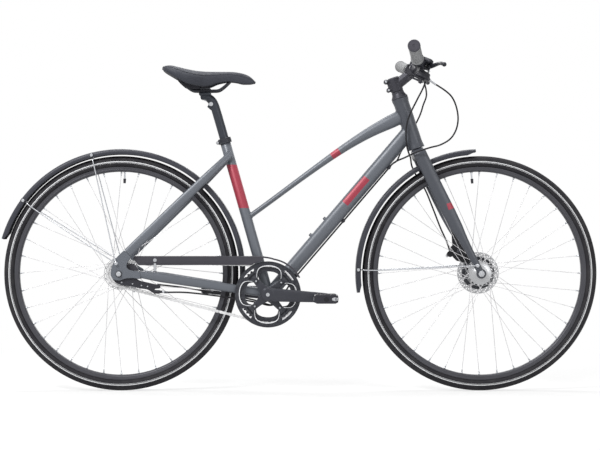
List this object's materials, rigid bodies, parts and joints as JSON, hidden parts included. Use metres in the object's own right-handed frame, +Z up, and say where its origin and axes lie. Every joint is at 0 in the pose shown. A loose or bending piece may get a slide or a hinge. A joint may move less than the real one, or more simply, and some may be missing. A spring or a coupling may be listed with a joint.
{
  "type": "step through bicycle",
  "caption": "Step through bicycle with a low curved top tube, straight bar, hub gear, chain guard, disc front brake and full fenders.",
  "frame": {"origin": "on the ground, midway between the two axles, in the plane of the wheels", "axes": "+X towards the front wheel, +Y towards the rider's left, +Z up"},
  "size_m": [1.7692, 0.6236, 1.0156],
  "materials": {
    "frame_paint": "satin",
    "black_metal": "satin",
    "dark_metal": "satin",
    "silver_metal": "polished",
    "steel": "brushed",
    "tyre_rubber": "matte",
    "grip_rubber": "matte",
    "black_plastic": "matte",
    "fender_plastic": "satin",
    "cable_cover": "matte",
    "saddle_cover": "matte"
  },
  "bodies": {
    "frame": {"head_tube": "frame_paint", "top_tube": "frame_paint", "down_tube": "frame_paint", "seat_tube": "frame_paint", "bottom_bracket_shell": "frame_paint", "bottom_bracket_unit": "steel", "headset_bearing_lower": "steel", "headset_bearing_upper": "steel", "chainstay_right": "frame_paint", "chainstay_left": "frame_paint", "seatstay_right": "frame_paint", "seatstay_left": "frame_paint", "seat_clamp": "dark_metal", "chain": "steel", "chain_cover": "black_plastic", "rear_brake_cable": "cable_cover", "gear_cable": "cable_cover", "rear_axle": "steel", "shift_joint_arm": "black_plastic", "rear_brake": "silver_metal", "rear_fender": "fender_plastic", "rear_fender_stays": "steel"},
    "fork_assembly": {"fork": "frame_paint", "headset_spacer": "dark_metal", "stem": "dark_metal", "handlebar": "dark_metal", "grip_right": "grip_rubber", "grip_left": "grip_rubber", "brake_perch_right": "black_plastic", "brake_perch_left": "black_plastic", "front_axle": "steel", "front_caliper": "black_metal", "front_fender": "fender_plastic", "front_fender_stays": "steel", "front_brake_cable": "cable_cover"},
    "right_brake_lever": {"brake_lever_right": "black_plastic"},
    "left_brake_lever": {"brake_lever_left": "black_plastic"},
    "thumb_shift_lever": {"shift_lever_thumb": "black_plastic"},
    "release_shift_lever": {"shift_lever_release": "black_plastic"},
    "front_brake_pull": {"front_brake_arm": "steel"},
    "rear_brake_pull": {"rear_brake_arm": "steel"},
    "hub_pulley": {"shift_pulley": "dark_metal"},
    "front_wheel": {"front_tyre": "tyre_rubber", "front_rim": "black_metal", "front_hub": "silver_metal", "front_disc": "steel"},
    "rear_wheel": {"rear_tyre": "tyre_rubber", "rear_rim": "black_metal", "rear_hub": "silver_metal"},
    "cog": {"rear_cog": "steel"},
    "crankset": {"crank_right": "dark_metal", "crank_left": "dark_metal", "chainring": "dark_metal", "chain_guard_disc": "black_metal"},
    "right_pedal": {"pedal_right": "black_plastic"},
    "left_pedal": {"pedal_left": "black_plastic"},
    "seat": {"seatpost": "dark_metal", "rail_clamp": "dark_metal", "saddle_rails": "steel", "saddle": "saddle_cover"}
  },
  "joints": [
    {"name": "steering", "type": "hinge", "parent": "frame", "child": "fork_assembly", "pos_m": [0.47658, 0, 0.33012], "axis": [-0.3173, 0, 0.9483], "range_deg": [-60, 60], "deforming": ["front_brake_cable", "rear_brake_cable", "gear_cable"]},
    {"name": "front_wheel_spin", "type": "hinge", "parent": "fork_assembly", "child": "front_wheel", "pos_m": [0.533, 0, 0.349], "axis": [0, 1, 0], "continuous": true},
    {"name": "rear_wheel_spin", "type": "hinge", "parent": "frame", "child": "rear_wheel", "pos_m": [-0.533, 0, 0.349], "axis": [0, 1, 0], "continuous": true},
    {"name": "crank_spin", "type": "hinge", "parent": "frame", "child": "crankset", "pos_m": [-0.0954, 0, 0.288], "axis": [0, 1, 0], "continuous": true, "deforming": ["chain"]},
    {"name": "cog_spin", "type": "hinge", "parent": "frame", "child": "cog", "pos_m": [-0.533, 0, 0.349], "axis": [0, 1, 0], "continuous": true},
    {"name": "right_pedal_spin", "type": "hinge", "parent": "crankset", "child": "right_pedal", "pos_m": [0.07435, -0.073, 0.27881], "axis": [0, 1, 0], "continuous": true},
    {"name": "left_pedal_spin", "type": "hinge", "parent": "crankset", "child": "left_pedal", "pos_m": [-0.26515, 0.073, 0.29719], "axis": [0, 1, 0], "continuous": true},
    {"name": "seat_height", "type": "slide", "parent": "frame", "child": "seat", "axis": [-0.274, 0, 0.9617], "range_m": [-0.08, 0.06]},
    {"name": "right_brake_squeeze", "type": "hinge", "parent": "fork_assembly", "child": "right_brake_lever", "pos_m": [0.36956, -0.15396, 0.94866], "axis": [-0.4423, -0.1326, -0.887], "range_deg": [0, 24], "stiffness_Nm_per_rad": 0.8, "springref_deg": -8.59},
    {"name": "left_brake_squeeze", "type": "hinge", "parent": "fork_assembly", "child": "left_brake_lever", "pos_m": [0.36956, 0.15396, 0.94866], "axis": [0.4423, -0.1326, 0.887], "range_deg": [0, 24], "stiffness_Nm_per_rad": 0.8, "springref_deg": -8.59},
    {"name": "front_brake_arm_turn", "type": "hinge", "parent": "fork_assembly", "child": "front_brake_pull", "pos_m": [0.44927, 0, 0.40548], "axis": [0, 1, 0], "range_deg": [0, 20]},
    {"name": "rear_brake_arm_turn", "type": "hinge", "parent": "frame", "child": "rear_brake_pull", "pos_m": [-0.507, 0, 0.327], "axis": [0, -1, 0], "range_deg": [0, 20]},
    {"name": "thumb_shift", "type": "hinge", "parent": "fork_assembly", "child": "thumb_shift_lever", "pos_m": [0.35056, -0.14294, 0.9159], "axis": [-0.4423, -0.1326, -0.887], "range_deg": [0, 28], "stiffness_Nm_per_rad": 0.3, "springref_deg": -8.59},
    {"name": "release_shift", "type": "hinge", "parent": "fork_assembly", "child": "release_shift_lever", "pos_m": [0.35056, -0.14294, 0.9159], "axis": [-0.4423, -0.1326, -0.887], "range_deg": [0, 14], "stiffness_Nm_per_rad": 0.3, "springref_deg": -8.59},
    {"name": "hub_pulley_turn", "type": "hinge", "parent": "frame", "child": "hub_pulley", "pos_m": [-0.533, 0, 0.349], "axis": [0, 1, 0], "range_deg": [0, 80]}
  ],
  "couplings": [
    {"joint": "cog_spin", "follows": "crank_spin", "ratio": 2.3333},
    {"joint": "front_brake_arm_turn", "follows": "right_brake_squeeze", "ratio": 0.83},
    {"joint": "rear_brake_arm_turn", "follows": "left_brake_squeeze", "ratio": 0.83}
  ]
}
